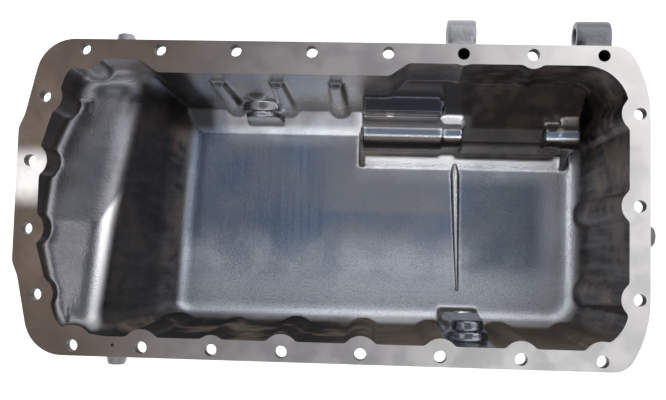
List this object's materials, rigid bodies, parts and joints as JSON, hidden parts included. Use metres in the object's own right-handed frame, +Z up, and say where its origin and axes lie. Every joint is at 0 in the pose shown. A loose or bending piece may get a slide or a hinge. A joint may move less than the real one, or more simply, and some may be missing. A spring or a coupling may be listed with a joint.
{
  "type": "engine oil pan",
  "caption": "Die-cast engine oil pan with a deep sump, a shallow end tray, a bolting flange, rear hinge lugs and a drain plug.",
  "frame": {"origin": "on the flat underside of the sump, below the middle of the four corner bolt holes", "axes": "+Z up out of the open mouth, +X from the shallow end to the deep end, +Y to the rear side with the lugs"},
  "size_m": [0.4375, 0.2458, 0.1285],
  "materials": {
    "casting": "oil-darkened die-cast skin with a machined flange face",
    "plug": "zinc plated",
    "washer": "soft turned ring"
  },
  "bodies": {
    "root": {"pan_casting": "casting", "drain_plug": "plug", "drain_washer": "washer"}
  },
  "joints": []
}
